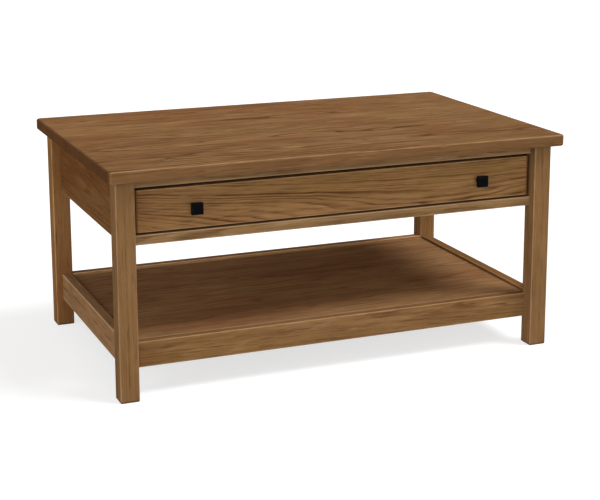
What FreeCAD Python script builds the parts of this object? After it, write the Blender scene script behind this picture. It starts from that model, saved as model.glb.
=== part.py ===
import FreeCAD, Part
import Sketcher
import os
import re

# Coffee table in oak: a top on four square legs, one wide drawer on telescopic runners, and a lower shelf.
# Frame: +X to the right along the length, -Y to the front, +Z up, origin on the floor under the middle.
# Lengths are millimetres.

SIZES = [
    # top
    ("top_length", 965, "length of the top"),
    ("top_width", 610, "width of the top, front to back"),
    ("table_height", 457, "floor to the top's upper face"),
    ("top_thickness", 24, "thickness of the top"),
    ("end_overhang", 17.5, "top past the legs at each end"),
    ("side_overhang", 24, "top past the legs at front and back"),
    ("top_corner_radius", 9, "rounding of the top's four corners"),
    ("top_edge_ease", 4.5, "rounding of the top's upper and lower edges"),
    # legs
    ("leg_width", 38, "side of the square legs"),
    ("leg_ease", 3, "rounding of the legs' long edges and feet"),
    # upper frame
    ("rail_thickness", 19, "thickness of aprons and rails"),
    ("apron_depth", 130, "height of the side and rear aprons"),
    ("front_rail_height", 19, "height of the two rails above and below the drawer"),
    ("front_rail_depth", 45, "front to back size of those two rails"),
    ("rail_ease", 1.2, "rounding of the long edges of aprons and rails"),
    # mortise and tenon joints
    ("tenon_length", 24, "tenon length of the rails and aprons"),
    ("tenon_thickness", 9, "tenon thickness"),
    ("tenon_spacing", 5, "wood above, between and below the apron tenons in a leg"),
    ("tenon_shoulder", 3, "shoulder above and below the front rails' tenons"),
    ("tenon_fit", 0.1, "clearance on each side of a tenon"),
    ("mortise_room", 1, "room past a tenon's end"),
    # shelf
    ("shelf_clearance", 59, "floor to the shelf rails' lower edges"),
    ("shelf_rail_height", 57, "height of the side and rear shelf rails"),
    ("shelf_lip", 6, "rise of those rails above the shelf"),
    ("shelf_thickness", 19, "thickness of the shelf panel"),
    ("shelf_side_recess", 15, "side shelf rails behind the legs' outer faces"),
    ("shelf_front_recess", 27, "front shelf rail behind the legs' front faces"),
    ("shelf_front_shoulder", 2, "front shelf rail's tenon in from the leg's and the rail's faces"),
    ("shelf_tenon_inset", 5, "tenons in from the rails' edges, and apart in a leg"),
    ("shelf_gap", 1.5, "room for the panel to swell at its sides and back"),
    ("shelf_ease", 2.5, "rounding of the shelf's front upper edge"),
    ("cleat_size", 18, "side of the square cleats under the panel"),
    ("cleat_screw_inset", 120, "cleat screws in from the cleats' ends"),
    # drawer
    ("drawer_side_reveal", 6, "gap beside the drawer face"),
    ("drawer_top_reveal", 5.5, "gap above the drawer face"),
    ("drawer_bottom_reveal", 4.5, "gap below the drawer face"),
    ("face_ease", 2, "rounding of the drawer face's edges"),
    ("box_thickness", 12.5, "thickness of the drawer box's four walls"),
    ("box_headroom", 14, "drawer box below the front top rail"),
    ("box_back_gap", 36, "room behind the drawer box"),
    ("box_lift", 8, "drawer box above the drawer rail"),
    ("bottom_thickness", 6, "thickness of the drawer bottom"),
    ("bottom_rise", 11, "groove of the bottom above the box's lower edge"),
    ("groove_depth", 6, "depth of the bottom's groove"),
    ("groove_room", 0.5, "room past the bottom's edges in the groove"),
    ("groove_fit", 0.1, "clearance above and below the bottom in its groove"),
    ("tail_count", 3, "dovetails at each corner of the box"),
    ("pin_width", 7.3, "wood between the wide ends of two dovetails"),
    ("tail_flare", 2, "slope of a dovetail, over the wall's thickness"),
    ("tail_fit", 0.05, "clearance on each flank of a dovetail"),
    # runners
    ("runner_setback", 3, "runners behind the drawer face"),
    ("runner_back_gap", 33, "room behind the runners"),
    ("runner_height", 45, "height of the outer member"),
    ("runner_steel", 1.2, "sheet of the runner members"),
    ("runner_bend", 0.9, "outer radius of the runners' bends"),
    ("member_gap", 0.6, "middle member off the screw heads, and its flanges behind the outer ones"),
    ("inner_gap", 0.8, "inner member's flanges off the middle member's web"),
    ("box_gap", 1.5, "outer member's flanges off the drawer box"),
    ("ball_track", 3.5, "space for the balls between two members' flanges"),
    ("ball_gap", 0.3, "clearance between a ball and each flange"),
    ("ball_hole_fit", 0.25, "clearance round a ball in its cage"),
    ("ball_pitch", 26, "distance between the balls of a cage"),
    ("ball_count", 4, "balls in a row"),
    ("cage_web", 1, "cage strip beside a ball's hole"),
    ("cage_end", 11, "cage strip past the centre of its last ball"),
    ("cage_gap", 0.5, "clearance beside a cage in the middle member"),
    ("cage_thickness", 1, "thickness of a cage strip"),
    ("runner_screw_inset", 35, "end screws in from the runners' ends"),
    # knobs
    ("knob_inset", 115, "knobs in from the drawer face's ends"),
    ("knob_width", 23, "side of the square head"),
    ("knob_neck", 12, "diameter of the round neck, and side of the flare's root"),
    ("knob_neck_length", 8, "neck, from the drawer face"),
    ("knob_flare", 5, "flare from neck to head"),
    ("knob_head", 7, "straight part of the head"),
    ("knob_bevel", 3, "bevel round the head's front"),
    ("knob_ease", 0.6, "rounding of the head's edges"),
    ("knob_thread_depth", 13, "threaded hole in the knob's back"),
    # clips for the top
    ("clip_width", 16, "width of a clip"),
    ("clip_steel", 2, "sheet of the clips"),
    ("clip_drop", 11, "clip's tongue below the top"),
    ("clip_tongue", 6, "clip's tongue in the apron's groove"),
    ("clip_flange", 20, "clip's flange under the top"),
    ("clip_groove_room", 2, "room past the tongue in the apron's groove"),
    ("clip_groove_fit", 0.4, "clearance above and below the tongue"),
    ("clip_inset_side", 133, "clips in from a side apron's ends"),
    ("clip_inset_rear", 107, "clips in from the rear apron's ends"),
    ("rail_screw_inset", 107, "screws in from the front top rail's ends"),
    # screws
    ("screw_radius", 2, "shank radius of the wood screws"),
    ("screw_fit", 0.1, "clearance round a shank"),
    ("screw_head_radius", 3.8, "head radius of the wood screws"),
    ("screw_head_height", 2.2, "head height of the wood screws"),
    ("head_room", 0.4, "clearance round and below a sunk head"),
    ("screw_bite", 14, "wood screws in the piece that they hold"),
    ("screw_room", 1, "room past a screw's end"),
    ("runner_head_height", 1.2, "head height of the runners' flat screws"),
    ("runner_bite", 10, "runner screws in the wood"),
    ("face_screw_inset", 61, "face screws in from the drawer face's ends"),
]

doc = FreeCAD.newDocument("CoffeeTable")
sheet = doc.addObject("Spreadsheet::Sheet", "Sizes")
for row, (alias, value, note) in enumerate(SIZES, start=1):
    sheet.set(f"A{row}", note)
    sheet.set(f"B{row}", str(value))
    sheet.setAlias(f"B{row}", alias)
doc.recompute()

ALIAS = re.compile(r"\b(" + "|".join(alias for alias, value, note in SIZES) + r")\b")
NEAR = 1e-3
SIDES = ("left", "right")
AWAY = {"left": "right", "right": "left"}
TO_UP = FreeCAD.Rotation()
TO_FRONT = FreeCAD.Rotation(FreeCAD.Vector(0, 0, 1), FreeCAD.Vector(0, -1, 0))
TOWARDS = {
    "left": FreeCAD.Rotation(FreeCAD.Vector(0, 0, 1), FreeCAD.Vector(-1, 0, 0)),
    "right": FreeCAD.Rotation(FreeCAD.Vector(0, 0, 1), FreeCAD.Vector(1, 0, 0)),
}
CLIP_STEPS = {"left": (-1, 1), "right": (-1, 1), "rear": (-1, 0, 1)}
CLIP_TURNS = {"left": 0, "right": 180, "rear": -90}
HEAD_TAPER = 0.7

# Places that several pieces share, as formulas of the sizes.
leg_height = "(table_height - top_thickness)"
leg_x = "(top_length / 2 - end_overhang)"
leg_y = "(top_width / 2 - side_overhang)"
bay_x = f"({leg_x} - leg_width)"
bay_y = f"({leg_y} - leg_width)"
bay_length = f"(2 * {bay_x})"
bay_depth = f"(2 * {bay_y})"
front_y = f"(-{bay_y} - rail_thickness)"
apron_bottom = f"({leg_height} - apron_depth)"
top_rail_z = f"({leg_height} - front_rail_height)"
opening_bottom = f"({apron_bottom} + front_rail_height)"
opening_height = "(apron_depth - 2 * front_rail_height)"
tenon_depth = "((rail_thickness - tenon_thickness) / 2)"
tenon_height = f"(({opening_height} - 4 * tenon_spacing) / 3)"
low_tenon, middle_tenon, high_tenon = [
    f"(front_rail_height + tenon_spacing + {step} * (tenon_spacing + {tenon_height}))" for step in range(3)]
rail_tenon_height = "(front_rail_height - 2 * tenon_shoulder)"
shelf_top = "(shelf_clearance + shelf_rail_height - shelf_lip)"
shelf_front_y = f"(-{leg_y} + shelf_front_recess)"
shelf_back_y = f"({shelf_front_y} + rail_thickness)"
shelf_side_x = f"({leg_x} - shelf_side_recess - rail_thickness)"
shelf_front_tenon = "(leg_width - shelf_front_recess - 2 * shelf_front_shoulder)"
shelf_tenon_height = "((shelf_rail_height - 3 * shelf_tenon_inset) / 2)"
shelf_high_tenon = f"(shelf_rail_height - shelf_tenon_inset - {shelf_tenon_height})"
cleat_z = f"({shelf_top} - shelf_thickness - cleat_size)"
ball_radius = "(ball_track / 2 - ball_gap)"
cage_width = f"(2 * ({ball_radius} + ball_hole_fit + cage_web))"
cage_length = "((ball_count - 1) * ball_pitch + 2 * cage_end)"
middle_near = "(runner_steel + runner_head_height + member_gap)"
middle_far = f"({middle_near} + runner_steel + 2 * cage_gap + {cage_width})"
ball_line = f"({middle_far} - cage_gap - {cage_width} / 2)"
outer_far = f"({middle_far} + member_gap)"
inner_near = f"({middle_near} + runner_steel + inner_gap)"
inner_far = f"({outer_far} + box_gap)"
inner_web = f"({inner_far} - runner_steel)"
member_step = "(runner_steel + ball_track)"
box_x = f"({bay_x} - {inner_far})"
box_z = f"({opening_bottom} + box_lift)"
box_height = f"({opening_height} - box_lift - box_headroom)"
box_depth = f"({bay_depth} - box_back_gap)"
box_core = f"({box_depth} - 2 * box_thickness)"
tail_pitch = f"({box_height} / tail_count)"
tail_width = f"({tail_pitch} - pin_width)"
face_x = f"({bay_x} - drawer_side_reveal)"
face_z = f"({opening_bottom} + drawer_bottom_reveal)"
face_height = f"({opening_height} - drawer_top_reveal - drawer_bottom_reveal)"
pull_z = f"({face_z} + {face_height} / 2)"
runner_y = f"(-{bay_y} + runner_setback)"
runner_length = f"({bay_depth} - runner_setback - runner_back_gap)"
runner_middle_z = f"({box_z} + {box_height} / 2)"
runner_z = f"({runner_middle_z} - runner_height / 2)"
screw_hole = "screw_radius + screw_fit"
screw_hole_depth = "screw_bite + screw_room"
clip_groove_depth = "(clip_tongue + clip_groove_room)"


def bind(obj, path, formula):
    """Ties a property to a formula of the sizes."""
    obj.setExpression(path, ALIAS.sub(r"Sizes.\1", formula))


def place(obj, point, rotation=TO_UP):
    """Puts an object at a point that three formulas give."""
    obj.Placement = FreeCAD.Placement(FreeCAD.Vector(), rotation)
    for axis, formula in zip("xyz", point):
        bind(obj, f"Placement.Base.{axis}", formula)


def size_of(alias):
    """A size's present value."""
    return float(sheet.get(alias))


def rectangle(body, name, width, depth):
    """A sketch on the body's ground plane: a rectangle with one corner at the origin."""
    sketch = body.newObject("Sketcher::SketchObject", name)
    ground = next(plane for plane in body.Origin.OriginFeatures if plane.Role == "XY_Plane")
    sketch.AttachmentSupport = [(ground, "")]
    sketch.MapMode = "FlatFace"
    start = 10.0
    points = [FreeCAD.Vector(x, y, 0) for x, y in ((0, 0), (start, 0), (start, start), (0, start))]
    for a, b in zip(points, points[1:] + points[:1]):
        sketch.addGeometry(Part.LineSegment(a, b), False)
    for line, direction in enumerate(("Horizontal", "Vertical", "Horizontal", "Vertical")):
        sketch.addConstraint(Sketcher.Constraint("Coincident", line, 2, (line + 1) % 4, 1))
        sketch.addConstraint(Sketcher.Constraint(direction, line))
    sketch.addConstraint(Sketcher.Constraint("Coincident", 0, 1, -1, 1))
    sides = (("width", "DistanceX", width), ("depth", "DistanceY", depth))
    for line, (label, direction, formula) in enumerate(sides):
        index = sketch.addConstraint(Sketcher.Constraint(direction, line, 1, line, 2, start))
        sketch.renameConstraint(index, label)
        bind(sketch, f"Constraints.{label}", formula)
    return sketch


def board(label, corner, size):
    """A board: its plan padded to its height, placed by its lowest corner."""
    width, depth, height = size
    body = doc.addObject("PartDesign::Body", label)
    body.Label = label
    plan = rectangle(body, label + "_plan", width, depth)
    pad = body.newObject("PartDesign::Pad", label + "_pad")
    pad.Profile = plan
    bind(pad, "Length", height)
    place(body, corner)
    return body


def block(body, kind, corner, size):
    """Adds or cuts a square-edged block, such as a tenon or groove. The kind is Additive or Subtractive."""
    feature = body.newObject(f"PartDesign::{kind}Box", f"{body.Label}_{kind}_block")
    for side, formula in zip(("Length", "Width", "Height"), size):
        bind(feature, side, formula)
    place(feature, corner)


def wedge(body, kind, y, x_start, z_start, x_end, z_end):
    """Adds or cuts a wedge along Y, from one rectangle to another. Each span is a pair of formulas."""
    feature = body.newObject(f"PartDesign::{kind}Wedge", f"{body.Label}_{kind}_wedge")
    spans = {"Y": y, "X": x_start, "Z": z_start, "X2": x_end, "Z2": z_end}
    for name, (low, high) in spans.items():
        bind(feature, name + "min", low)
        bind(feature, name + "max", high)


def bore(body, point, rotation, radius, depth):
    """Drills a round hole from a point of the body, along the rotated Z axis."""
    feature = body.newObject("PartDesign::SubtractiveCylinder", f"{body.Label}_bore")
    bind(feature, "Radius", radius)
    bind(feature, "Height", depth)
    place(feature, point, rotation)


def runs_along(edge, axis):
    """True for a straight edge that is parallel to an axis."""
    return isinstance(edge.Curve, Part.Line) and abs(abs(getattr(edge.Curve.Direction, axis)) - 1) < NEAR


def lies_at(edge, axis, value):
    """True for an edge all of whose points have that value on an axis."""
    low, high = [getattr(edge.BoundBox, axis.upper() + limit) for limit in ("Min", "Max")]
    return abs(low - value) < NEAR and abs(high - value) < NEAR


def ease(body, radius, wanted):
    """Rounds those edges of a body that the test picks."""
    doc.recompute()
    tip = body.Tip
    names = [f"Edge{i}" for i, edge in enumerate(tip.Shape.Edges, start=1) if wanted(edge)]
    feature = body.newObject("PartDesign::Fillet", f"{body.Label}_ease")
    feature.Base = (tip, names)
    bind(feature, "Radius", radius)


def group(label, members):
    """One node of several separate solids."""
    compound = doc.addObject("Part::Compound", label)
    compound.Label = label
    compound.Links = members


def make_screw(name, point, rotation, length, head_height):
    """A screw whose head's underside is at the point, with its shank along the rotated Z axis."""
    shank = doc.addObject("Part::Cylinder", name + "_shank")
    bind(shank, "Radius", "screw_radius")
    bind(shank, "Height", length)
    head = doc.addObject("Part::Cone", name + "_head")
    bind(head, "Radius1", f"screw_head_radius * {HEAD_TAPER}")
    bind(head, "Radius2", "screw_head_radius")
    bind(head, "Height", head_height)
    place(head, ("0", "0", f"-{head_height}"))
    screw = doc.addObject("Part::Fuse", name)
    screw.Base = head
    screw.Tool = shank
    place(screw, point, rotation)
    return screw


def by_side(side, left, right):
    """The formula for one side of the table."""
    return left if side == "left" else right


# Top

def make_top():
    top = board("table_top", ("-top_length / 2", "-top_width / 2", leg_height),
                ("top_length", "top_width", "top_thickness"))
    thickness = size_of("top_thickness")
    ease(top, "top_corner_radius", lambda edge: runs_along(edge, "z"))
    ease(top, "top_edge_ease", lambda edge: lies_at(edge, "z", 0) or lies_at(edge, "z", thickness))
    for x, y in clip_screw_points() + rail_screw_points():
        bore(top, (f"{x} + top_length / 2", f"{y} + top_width / 2", "0"), TO_UP, screw_hole, screw_hole_depth)


# Legs

def from_inside(side, start, extent):
    """Start of a stretch of a leg that is measured from the leg's inner face."""
    return f"leg_width - {start} - {extent}" if side in ("left", "front") else start


def mortise(leg, end, side, run, across, thick, z, height):
    """A mortise for a tenon along X or Y. Across is how far the tenon lies from the leg's inner corner."""
    deep = ("0", "(tenon_length + mortise_room)")
    wide = (f"({across} - tenon_fit)", f"({thick} + 2 * tenon_fit)")
    along_x, along_y = (deep, wide) if run == "x" else (wide, deep)
    block(leg, "Subtractive",
          (from_inside(side, *along_x), from_inside(end, *along_y), f"{z} - tenon_fit"),
          (along_x[1], along_y[1], f"{height} + 2 * tenon_fit"))


def make_leg(end, side):
    x = by_side(side, f"-{leg_x}", bay_x)
    y = f"-{leg_y}" if end == "front" else bay_y
    leg = board(f"leg_{end}_{side}", (x, y, "0"), ("leg_width", "leg_width", leg_height))
    ease(leg, "leg_ease", lambda edge: runs_along(edge, "z") or lies_at(edge, "z", 0))
    shelf_across = f"(leg_width - shelf_side_recess - rail_thickness + {tenon_depth})"
    joints = [
        ("y", tenon_depth, "tenon_thickness", f"{apron_bottom} + {low_tenon}", tenon_height),
        ("y", tenon_depth, "tenon_thickness", f"{apron_bottom} + {high_tenon}", tenon_height),
        ("y", shelf_across, "tenon_thickness", f"shelf_clearance + {shelf_high_tenon}", shelf_tenon_height),
    ]
    shelf_low = "shelf_clearance + shelf_tenon_inset"
    if end == "rear":
        joints += [
            ("x", tenon_depth, "tenon_thickness", f"{apron_bottom} + {middle_tenon}", tenon_height),
            ("x", tenon_depth, "tenon_thickness", shelf_low, shelf_tenon_height),
        ]
    else:
        joints += [
            ("x", tenon_depth, "tenon_thickness", f"{apron_bottom} + tenon_shoulder", rail_tenon_height),
            ("x", tenon_depth, "tenon_thickness", f"{top_rail_z} + tenon_shoulder", rail_tenon_height),
            ("x", "shelf_front_shoulder", shelf_front_tenon, shelf_low, shelf_tenon_height),
        ]
    for joint in joints:
        mortise(leg, end, side, *joint)


# Upper frame

def tenons(rail, run, length, depth, thick, rise, height):
    """A tenon at each end of a rail that runs along X or Y."""
    for start in ("-tenon_length", length):
        if run == "x":
            block(rail, "Additive", (start, depth, rise), ("tenon_length", thick, height))
        else:
            block(rail, "Additive", (depth, start, rise), (thick, "tenon_length", height))


def make_front_rail(label, z):
    rail = board(label, (f"-{bay_x}", front_y, z), (bay_length, "front_rail_depth", "front_rail_height"))
    ease(rail, "rail_ease", lambda edge: runs_along(edge, "x"))
    tenons(rail, "x", bay_length, tenon_depth, "tenon_thickness", "tenon_shoulder", rail_tenon_height)
    return rail


def make_front_rails():
    make_front_rail("drawer_rail", apron_bottom)
    top_rail = make_front_rail("front_top_rail", top_rail_z)
    for x, y in rail_screw_points():
        point = (f"{x} + {bay_x}", "front_rail_depth / 2", "0")
        bore(top_rail, point, TO_UP, screw_hole, "front_rail_height")
        bore(top_rail, point, TO_UP, "screw_head_radius + head_room", "screw_head_height + head_room")


def cut_clip_groove(apron, corner, size):
    """The saw groove along an apron's inner face that takes the clips' tongues."""
    rise = "apron_depth - clip_drop - clip_groove_fit"
    block(apron, "Subtractive", (*corner, rise), (*size, "clip_steel + 2 * clip_groove_fit"))


def make_side_apron(side):
    apron = board(f"side_apron_{side}",
                  (by_side(side, f"-{bay_x} - rail_thickness", bay_x), f"-{bay_y}", apron_bottom),
                  ("rail_thickness", bay_depth, "apron_depth"))
    ease(apron, "rail_ease", lambda edge: runs_along(edge, "y"))
    for rise in (low_tenon, high_tenon):
        tenons(apron, "y", bay_depth, tenon_depth, "tenon_thickness", rise, tenon_height)
    cut_clip_groove(apron, (by_side(side, f"rail_thickness - {clip_groove_depth}", "0"), "0"),
                    (clip_groove_depth, bay_depth))
    inner_face = by_side(side, "rail_thickness", "0")
    for y in runner_screw_places():
        bore(apron, (inner_face, f"{y} + {bay_y}", f"{runner_middle_z} - {apron_bottom}"), TOWARDS[side],
             screw_hole, "runner_bite + screw_room")


def make_rear_apron():
    apron = board("rear_apron", (f"-{bay_x}", bay_y, apron_bottom),
                  (bay_length, "rail_thickness", "apron_depth"))
    ease(apron, "rail_ease", lambda edge: runs_along(edge, "x"))
    tenons(apron, "x", bay_length, tenon_depth, "tenon_thickness", middle_tenon, tenon_height)
    cut_clip_groove(apron, ("0", "0"), (bay_length, clip_groove_depth))


# Clips and screws of the top

def clip_points(side):
    """Middles of one apron's clips, on its inner face."""
    spread = f"({bay_x} - clip_inset_rear)" if side == "rear" else f"({bay_y} - clip_inset_side)"
    for step in CLIP_STEPS[side]:
        along = f"({step} * {spread})"
        yield {"left": (f"-{bay_x}", along), "right": (bay_x, along), "rear": (along, bay_y)}[side]


def inwards(side, point, distance):
    """A point moved off an apron's inner face, towards the middle of the table."""
    x, y = point
    moved = {"left": (f"({x} + {distance})", y), "right": (f"({x} - {distance})", y),
             "rear": (x, f"({y} - {distance})")}
    return moved[side]


def clip_screw_points():
    reach = "(clip_steel + clip_flange / 2)"
    return [inwards(side, point, reach) for side in CLIP_STEPS for point in clip_points(side)]


def rail_screw_points():
    y = f"({front_y} + front_rail_depth / 2)"
    return [(f"({step} * ({bay_x} - rail_screw_inset))", y) for step in (-1, 0, 1)]


def make_clip(side, index, point):
    """A stepped steel clip: a tongue in the groove, a riser on the apron and a flange under the top."""
    clip = board(f"clip_{side}_{index}", ("0", "0", "0"),
                 ("clip_tongue + clip_steel", "clip_width", "clip_steel"))
    flange_z = "clip_drop - clip_steel"
    block(clip, "Additive", ("clip_tongue", "0", "0"), ("clip_steel", "clip_width", "clip_drop"))
    block(clip, "Additive", ("clip_tongue", "0", flange_z),
          ("clip_steel + clip_flange", "clip_width", "clip_steel"))
    bore(clip, ("clip_tongue + clip_steel + clip_flange / 2", "clip_width / 2", flange_z), TO_UP,
         screw_hole, "clip_steel")
    x, y = inwards(side, point, "(-clip_tongue)")
    corner = {"left": (x, f"{y} - clip_width / 2"), "right": (x, f"{y} + clip_width / 2"),
              "rear": (f"{x} - clip_width / 2", y)}[side]
    turn = FreeCAD.Rotation(FreeCAD.Vector(0, 0, 1), CLIP_TURNS[side])
    place(clip, (*corner, f"{leg_height} - clip_drop"), turn)
    return clip


def make_top_fasteners():
    group("top_clips", [make_clip(side, index, point) for side in CLIP_STEPS
                        for index, point in enumerate(clip_points(side), start=1)])
    screws = []
    for x, y in clip_screw_points():
        screws.append(make_screw(f"top_screw_{len(screws) + 1}", (x, y, f"{leg_height} - clip_steel"), TO_UP,
                                 "clip_steel + screw_bite", "screw_head_height"))
    sunk = "(front_rail_height - screw_head_height - head_room)"
    for x, y in rail_screw_points():
        screws.append(make_screw(f"top_screw_{len(screws) + 1}", (x, y, f"{leg_height} - {sunk}"), TO_UP,
                                 f"{sunk} + screw_bite", "screw_head_height"))
    group("top_screws", screws)


# Shelf

def make_shelf_rails():
    front = board("shelf_front_rail", (f"-{bay_x}", shelf_front_y, "shelf_clearance"),
                  (bay_length, "rail_thickness", "shelf_rail_height - shelf_lip"))
    ease(front, "shelf_ease",
         lambda edge: runs_along(edge, "x") and lies_at(edge, "y", 0) and edge.BoundBox.ZMin > NEAR)
    ease(front, "rail_ease", lambda edge: runs_along(edge, "x") and lies_at(edge, "z", 0))
    tenons(front, "x", bay_length, "shelf_front_shoulder", shelf_front_tenon,
           "shelf_tenon_inset", shelf_tenon_height)
    rear = board("shelf_rear_rail", (f"-{bay_x}", bay_y, "shelf_clearance"),
                 (bay_length, "rail_thickness", "shelf_rail_height"))
    ease(rear, "rail_ease", lambda edge: runs_along(edge, "x"))
    tenons(rear, "x", bay_length, tenon_depth, "tenon_thickness", "shelf_tenon_inset", shelf_tenon_height)
    for side in SIDES:
        x = by_side(side, f"-{shelf_side_x} - rail_thickness", shelf_side_x)
        rail = board(f"shelf_side_rail_{side}", (x, f"-{bay_y}", "shelf_clearance"),
                     ("rail_thickness", bay_depth, "shelf_rail_height"))
        ease(rail, "rail_ease", lambda edge: runs_along(edge, "y"))
        tenons(rail, "y", bay_depth, tenon_depth, "tenon_thickness", shelf_high_tenon, shelf_tenon_height)


def cleat_rows():
    """The four cleats: name, corner, size and the places of their two screws."""
    depth = f"({bay_y} - {shelf_back_y})"
    inner_x = f"({shelf_side_x} - cleat_size)"
    width = f"(2 * {inner_x})"
    middle = "cleat_size / 2"
    for side in SIDES:
        yield (f"shelf_cleat_{side}", (by_side(side, f"-{shelf_side_x}", inner_x), shelf_back_y, cleat_z),
               ("cleat_size", depth, "cleat_size"),
               [(middle, "cleat_screw_inset"), (middle, f"{depth} - cleat_screw_inset")])
    for end, y in (("front", shelf_back_y), ("rear", f"({bay_y} - cleat_size)")):
        yield (f"shelf_cleat_{end}", (f"-{inner_x}", y, cleat_z), (width, "cleat_size", "cleat_size"),
               [("cleat_screw_inset", middle), (f"{width} - cleat_screw_inset", middle)])


def make_shelf():
    make_shelf_rails()
    panel_x = f"({shelf_side_x} - shelf_gap)"
    panel = board("shelf_panel", (f"-{panel_x}", shelf_back_y, f"{shelf_top} - shelf_thickness"),
                  (f"2 * {panel_x}", f"{bay_y} - shelf_gap - {shelf_back_y}", "shelf_thickness"))
    screws = []
    for label, corner, size, places in cleat_rows():
        cleat = board(label, corner, size)
        for x, y in places:
            at_x, at_y = [f"{start} + {inset}" for start, inset in zip(corner, (x, y))]
            bore(cleat, (x, y, "0"), TO_UP, screw_hole, "cleat_size")
            bore(panel, (f"{at_x} + {panel_x}", f"{at_y} - {shelf_back_y}", "0"), TO_UP,
                 screw_hole, screw_hole_depth)
            screws.append(make_screw(f"shelf_screw_{len(screws) + 1}", (at_x, at_y, cleat_z), TO_UP,
                                     "cleat_size + screw_bite", "screw_head_height"))
    group("shelf_screws", screws)


# Drawer

def dovetails(body, kind, x, y, wide_first, fit="0"):
    """The tails of one box corner, added to a side wall or cut from the front or back wall."""
    for index in range(int(size_of("tail_count"))):
        middle = f"({index} + 0.5) * {tail_pitch}"
        wide = (f"{middle} - {tail_width} / 2 - {fit}", f"{middle} + {tail_width} / 2 + {fit}")
        narrow = (wide[0] + " + tail_flare", wide[1] + " - tail_flare")
        start, end = (wide, narrow) if wide_first else (narrow, wide)
        wedge(body, kind, y, x, start, x, end)


def make_drawer_side(side):
    wall = board(f"drawer_side_{side}",
                 (by_side(side, f"-{box_x}", f"{box_x} - box_thickness"), f"-{bay_y} + box_thickness", box_z),
                 ("box_thickness", box_core, box_height))
    across = ("0", "box_thickness")
    dovetails(wall, "Additive", across, ("-box_thickness", "0"), wide_first=True)
    dovetails(wall, "Additive", across, (box_core, f"{box_core} + box_thickness"), wide_first=False)
    block(wall, "Subtractive",
          (by_side(side, "box_thickness - groove_depth", "0"), "-groove_depth", "bottom_rise - groove_fit"),
          ("groove_depth", f"{box_core} + 2 * groove_depth", "bottom_thickness + 2 * groove_fit"))
    outer_face = by_side(side, "0", "box_thickness")
    for y in runner_screw_places():
        bore(wall, (outer_face, f"{y} + {bay_y} - box_thickness", f"{box_height} / 2"),
             TOWARDS[AWAY[side]], screw_hole, "runner_bite + screw_room")


def make_drawer_end(label, y, front):
    """The box's front or back wall, with sockets for the side walls' tails."""
    wall = board(label, (f"-{box_x}", y, box_z), (f"2 * {box_x}", "box_thickness", box_height))
    for x in (("0", "box_thickness"), (f"2 * {box_x} - box_thickness", f"2 * {box_x}")):
        dovetails(wall, "Subtractive", x, ("0", "box_thickness"), wide_first=front, fit="tail_fit")
    groove_y = "box_thickness - groove_depth" if front else "0"
    block(wall, "Subtractive", ("box_thickness - groove_depth", groove_y, "bottom_rise - groove_fit"),
          (f"2 * ({box_x} - box_thickness + groove_depth)", "groove_depth",
           "bottom_thickness + 2 * groove_fit"))
    return wall


def make_drawer_bottom():
    reach = "(box_thickness - groove_depth + groove_room)"
    board("drawer_bottom", (f"-{box_x} + {reach}", f"-{bay_y} + {reach}", f"{box_z} + bottom_rise"),
          (f"2 * ({box_x} - {reach})", f"{box_depth} - 2 * {reach}", "bottom_thickness"))


def make_drawer_face():
    face = board("drawer_face", (f"-{face_x}", front_y, face_z),
                 (f"2 * {face_x}", "rail_thickness", face_height))
    ease(face, "face_ease", lambda edge: lies_at(edge, "y", 0) or runs_along(edge, "y"))
    return face


def make_drawer():
    for side in SIDES:
        make_drawer_side(side)
    box_front = make_drawer_end("drawer_box_front", f"-{bay_y}", front=True)
    make_drawer_end("drawer_box_back", f"-{bay_y} + {box_depth} - box_thickness", front=False)
    make_drawer_bottom()
    face = make_drawer_face()
    face_places = [f"({step} / 3 * ({face_x} - face_screw_inset))" for step in (-3, -1, 1, 3)]
    knob_places = [f"({step} * ({face_x} - knob_inset))" for step in (-1, 1)]
    for x in face_places + knob_places:
        through = x in knob_places
        bore(box_front, (f"{x} + {box_x}", "box_thickness", f"{pull_z} - {box_z}"), TO_FRONT,
             screw_hole, "box_thickness")
        bore(face, (f"{x} + {face_x}", "rail_thickness", f"{face_height} / 2"), TO_FRONT,
             screw_hole, "rail_thickness" if through else screw_hole_depth)
    inside_y = f"-{bay_y} + box_thickness"
    knob_reach = "box_thickness + rail_thickness + knob_thread_depth - screw_room"
    group("drawer_face_screws", [
        make_screw(f"face_screw_{i}", (x, inside_y, pull_z), TO_FRONT, "box_thickness + screw_bite",
                   "screw_head_height") for i, x in enumerate(face_places, start=1)])
    group("knob_screws", [
        make_screw(f"knob_screw_{i}", (x, inside_y, pull_z), TO_FRONT, knob_reach,
                   "screw_head_height") for i, x in enumerate(knob_places, start=1)])
    for side, x in zip(SIDES, knob_places):
        make_knob(side, x)


def make_knob(side, x):
    """A square knob: round neck, flare, square head and a bevelled front."""
    knob = doc.addObject("PartDesign::Body", f"knob_{side}")
    knob.Label = f"knob_{side}"
    neck = knob.newObject("PartDesign::AdditiveCylinder", f"knob_{side}_neck")
    bind(neck, "Radius", "knob_neck / 2")
    bind(neck, "Height", "knob_neck_length")
    place(neck, ("0", "0", "0"), TO_FRONT)
    wide, root, nose = [(f"-{half}", half) for half in
                        ("knob_width / 2", "knob_neck / 2", "(knob_width / 2 - knob_bevel)")]
    neck_y = "-knob_neck_length"
    head_y = f"({neck_y} - knob_flare)"
    bevel_y = f"({head_y} - knob_head)"
    wedge(knob, "Additive", (head_y, neck_y), wide, wide, root, root)
    wedge(knob, "Additive", (bevel_y, head_y), wide, wide, wide, wide)
    wedge(knob, "Additive", (f"{bevel_y} - knob_bevel", bevel_y), nose, nose, wide, wide)
    place(knob, (x, front_y, pull_z))
    ease(knob, "knob_ease", lambda edge: runs_along(edge, "y") and edge.BoundBox.YMax < -NEAR)
    bore(knob, ("0", "0", "0"), TO_FRONT, screw_hole, "knob_thread_depth")


# Runners

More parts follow.
